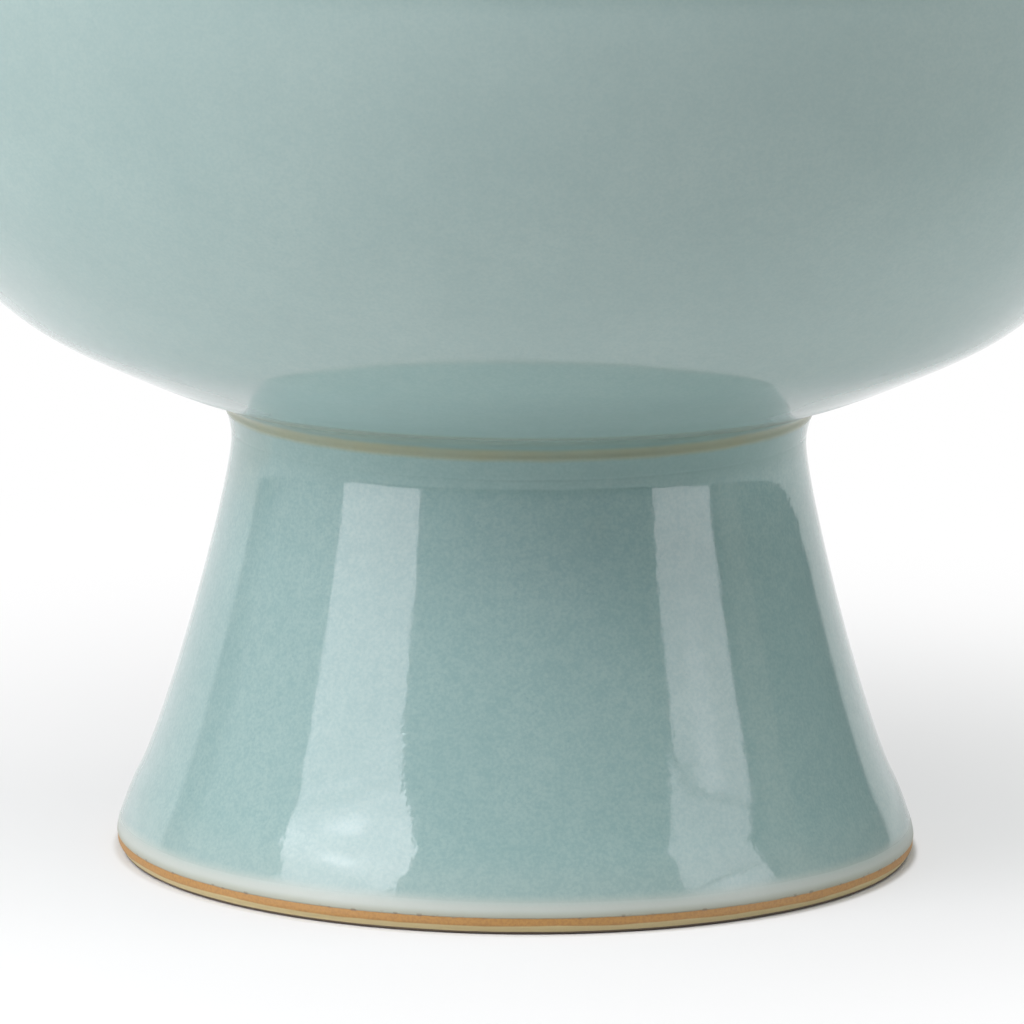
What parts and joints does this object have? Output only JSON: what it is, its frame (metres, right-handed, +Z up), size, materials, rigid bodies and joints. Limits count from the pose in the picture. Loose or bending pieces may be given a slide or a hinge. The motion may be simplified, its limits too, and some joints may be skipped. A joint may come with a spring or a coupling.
{
  "type": "porcelain vase",
  "caption": "Celadon-glazed porcelain vase: wide globular belly on a tall splayed hollow foot, waisted neck with trumpet mouth and raised bowstrings.",
  "frame": {"origin": "centre of the standing ring, on the surface that the vase stands on", "axes": "+Z up along the vase's axis of revolution; X and Y are alike"},
  "size_m": [0.214, 0.214, 0.33],
  "materials": {
    "celadon_glaze": "glossy pale blue-green glaze, bare and ochre at the standing ring",
    "thin_glaze": "glossy glaze that runs thin and breaks to ochre on the raised bead",
    "porcelain_slip": "matte fired slip, glazed where it meets the surface"
  },
  "bodies": {
    "root": {"foot": "celadon_glaze", "foot_joint_coil": "thin_glaze", "lower_belly": "celadon_glaze", "belly_joint_slip": "porcelain_slip", "upper_belly": "celadon_glaze", "neck_joint_slip": "porcelain_slip", "neck": "celadon_glaze", "shoulder_bowstring": "thin_glaze", "neck_root_bowstring": "thin_glaze", "neck_bowstring": "thin_glaze"}
  },
  "joints": []
}
